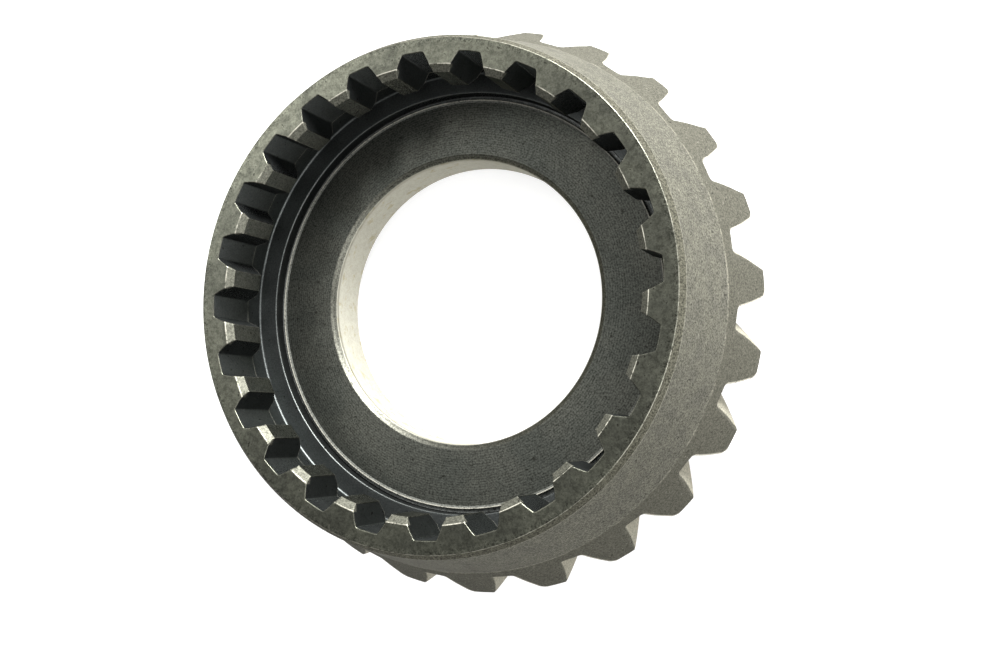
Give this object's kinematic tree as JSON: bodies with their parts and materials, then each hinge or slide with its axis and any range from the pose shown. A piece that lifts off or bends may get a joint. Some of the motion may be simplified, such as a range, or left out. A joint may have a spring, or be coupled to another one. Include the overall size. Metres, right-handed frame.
{
  "type": "spiral bevel gear",
  "caption": "Spiral bevel ring gear with an internally splined front rim, a stepped recess behind the spline and a plain centre bore.",
  "frame": {"origin": "centre of the bounding box's bottom: on the gear's axis, level with the small ends of the bevel teeth that the gear lies on", "axes": "+Z along the gear's axis towards the splined front face; +X through the middle of one bevel tooth at its large end"},
  "size_m": [0.0804, 0.0804, 0.0244],
  "materials": {
    "gear_steel": "case-hardened alloy steel, matt sand-blasted grey-green body, machined bore and tooth flanks"
  },
  "bodies": {
    "root": {"drive_gear": "gear_steel"}
  },
  "joints": []
}
